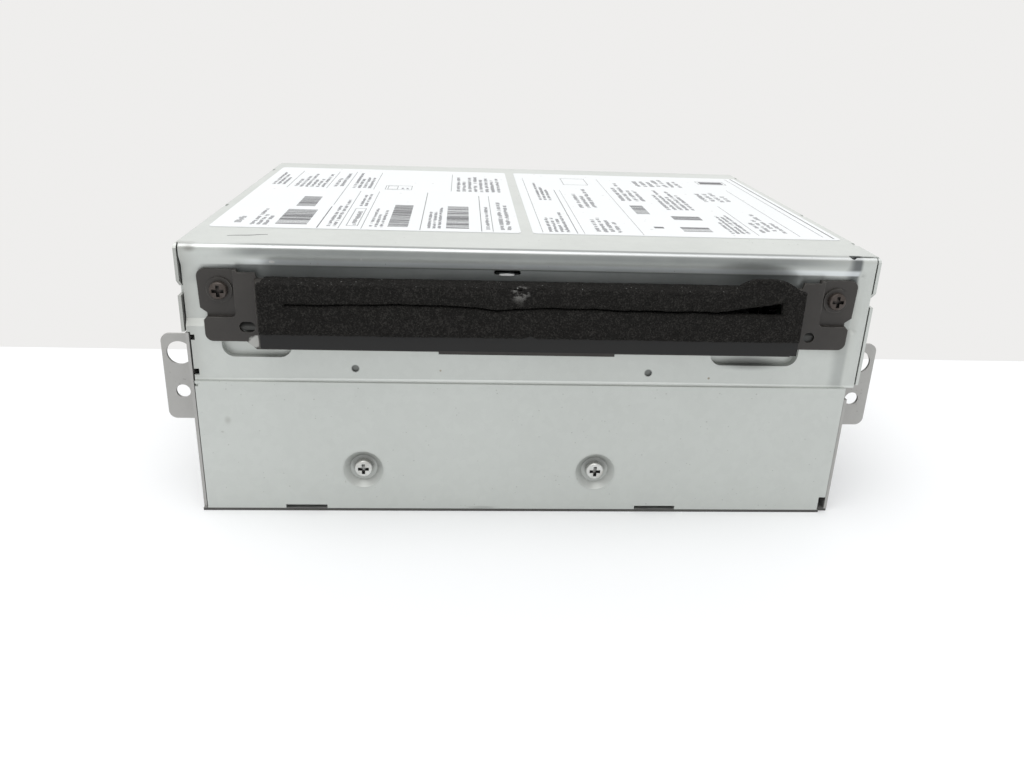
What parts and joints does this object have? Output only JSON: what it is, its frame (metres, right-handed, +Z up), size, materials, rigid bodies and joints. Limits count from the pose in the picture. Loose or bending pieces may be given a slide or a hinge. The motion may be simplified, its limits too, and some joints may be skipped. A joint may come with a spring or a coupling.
{
  "type": "car head unit",
  "caption": "Boxed car head unit: galvanised steel case with side mounting ears, a dark foam-lipped disc slot in front and a sprung slot-loading disc drive inside.",
  "frame": {"origin": "centre of the bounding box, on the plane the case rests on", "axes": "+X to the right seen from the front, +Y towards the back, +Z up"},
  "size_m": [0.1948, 0.16, 0.0751],
  "materials": {
    "galvanised_steel": "galvanised sheet, satin, lightly spangled",
    "dark_steel": "dark brown-black coated sheet, satin",
    "foam": "coarse open-cell foam, matte",
    "zinc_screw": "bright zinc",
    "dark_screw": "black zinc",
    "label_paper": "white label film, satin",
    "aluminium": "extruded, satin",
    "black_plastic": "moulded, satin",
    "bus_plastic": "moulded, satin",
    "beige_plastic": "moulded, satin",
    "contact_tin": "plated",
    "board": "green solder mask",
    "chip_black": "moulded, matte",
    "capacitor_sleeve": "shrink sleeve",
    "tinplate": "bright tinplate",
    "cable_film": "white film",
    "rubber": "soft black rubber",
    "spring_steel": "drawn wire",
    "natural_acetal": "moulded acetal",
    "brass": "turned",
    "ground_steel": "ground rod",
    "lens": "coated lens",
    "sled_metal": "die cast"
  },
  "bodies": {
    "housing": {"top_cover": "galvanised_steel", "lower_front_panel": "galvanised_steel", "base_plate": "galvanised_steel", "side_plate_left": "galvanised_steel", "side_plate_right": "galvanised_steel", "rear_plate": "galvanised_steel", "slot_flange": "dark_steel", "foam_seal": "foam", "flange_screws": "dark_screw", "panel_screws": "zinc_screw", "side_screws": "zinc_screw", "front_bracket": "galvanised_steel", "label_left": "label_paper", "label_right": "label_paper", "heat_sink": "aluminium", "sink_screws": "zinc_screw", "main_connector": "black_plastic", "connector_pins": "contact_tin", "bus_connector": "bus_plastic", "data_connector": "beige_plastic", "antenna_jacks": "tinplate", "main_board": "board", "board_posts": "brass", "board_screws": "zinc_screw", "board_chips": "chip_black", "amplifier_chip": "chip_black", "amplifier_clamp": "spring_steel", "capacitors": "capacitor_sleeve", "tuner_can": "tinplate", "link_cable": "cable_film", "deck_bracket_left": "galvanised_steel", "deck_bracket_right": "galvanised_steel", "dampers": "rubber", "suspension_springs": "spring_steel"},
    "drive": {"deck_base": "galvanised_steel", "deck_top": "galvanised_steel", "deck_board": "board", "disc_guide": "black_plastic", "pivot_pins": "ground_steel", "drive_belt": "rubber", "loading_motor": "tinplate", "spindle_motor": "tinplate", "guide_rods": "ground_steel", "lead_motor": "tinplate", "clamp_spring": "spring_steel"},
    "arm": {"roller_arm": "galvanised_steel"},
    "roller": {"roller_shaft": "ground_steel", "rubber_rollers": "rubber", "roller_gear": "natural_acetal"},
    "idler": {"idler_gear": "natural_acetal"},
    "pulley": {"pulley_gear": "natural_acetal"},
    "motor_rotor": {"motor_pulley": "brass"},
    "shift": {"shift_plate": "black_plastic"},
    "table": {"turntable": "black_plastic"},
    "clamp": {"clamp_arm": "galvanised_steel"},
    "puck": {"clamp_puck": "black_plastic"},
    "sled": {"pickup_sled": "sled_metal"},
    "lens": {"lens_holder": "black_plastic", "objective_lens": "lens"},
    "screw": {"lead_screw": "ground_steel"}
  },
  "joints": [
    {"name": "drive_float", "type": "slide", "parent": "housing", "child": "drive", "axis": [0, 0, 1], "range_m": [-0.0007, 0.0007], "stiffness_N_per_m": 6000, "springref_m": 0.0006, "deforming": ["suspension_springs", "link_cable"]},
    {"name": "roller_arm_tilt", "type": "hinge", "parent": "drive", "child": "arm", "pos_m": [0.00075, -0.0366, 0.0576], "axis": [1, 0, 0], "range_deg": [0, 8]},
    {"name": "roller_spin", "type": "hinge", "parent": "arm", "child": "roller", "pos_m": [0.00075, -0.057, 0.0576], "axis": [1, 0, 0], "continuous": true},
    {"name": "idler_spin", "type": "hinge", "parent": "arm", "child": "idler", "pos_m": [0.06635, -0.0462, 0.0576], "axis": [1, 0, 0], "continuous": true},
    {"name": "pulley_spin", "type": "hinge", "parent": "arm", "child": "pulley", "pos_m": [0.06635, -0.0366, 0.0576], "axis": [1, 0, 0], "continuous": true},
    {"name": "loading_motor_spin", "type": "hinge", "parent": "drive", "child": "motor_rotor", "pos_m": [0.0698, -0.016, 0.0552], "axis": [1, 0, 0], "continuous": true},
    {"name": "shift_slide", "type": "slide", "parent": "drive", "child": "shift", "axis": [0, 1, 0], "range_m": [0, 0.01]},
    {"name": "turntable_spin", "type": "hinge", "parent": "drive", "child": "table", "pos_m": [0.00075, 0, 0.059], "axis": [0, 0, 1], "continuous": true},
    {"name": "clamp_tilt", "type": "hinge", "parent": "drive", "child": "clamp", "pos_m": [0.00075, 0.046, 0.0649], "axis": [1, 0, 0], "range_deg": [0, 3], "deforming": ["clamp_spring"]},
    {"name": "puck_spin", "type": "hinge", "parent": "clamp", "child": "puck", "pos_m": [0.00075, 0, 0.0649], "axis": [0, 0, 1], "continuous": true},
    {"name": "sled_slide", "type": "slide", "parent": "drive", "child": "sled", "axis": [-1, 0, 0], "range_m": [0, 0.034]},
    {"name": "lead_screw_spin", "type": "hinge", "parent": "drive", "child": "screw", "pos_m": [-0.07025, -0.0276, 0.0542], "axis": [1, 0, 0], "range_deg": [0, 2041]},
    {"name": "lens_focus", "type": "slide", "parent": "sled", "child": "lens", "axis": [0, 0, 1], "range_m": [-0.0006, 0.0006], "stiffness_N_per_m": 100}
  ],
  "couplings": [
    {"joint": "roller_arm_tilt", "follows": "shift_slide", "rad_per_m": 13.961},
    {"joint": "clamp_tilt", "follows": "shift_slide", "rad_per_m": 5.2355},
    {"joint": "pulley_spin", "follows": "loading_motor_spin", "ratio": 0.3985},
    {"joint": "idler_spin", "follows": "loading_motor_spin", "ratio": -0.2391},
    {"joint": "roller_spin", "follows": "loading_motor_spin", "ratio": 0.29887},
    {"joint": "puck_spin", "follows": "turntable_spin", "ratio": 1},
    {"joint": "lead_screw_spin", "follows": "sled_slide", "rad_per_m": 1047.2}
  ]
}
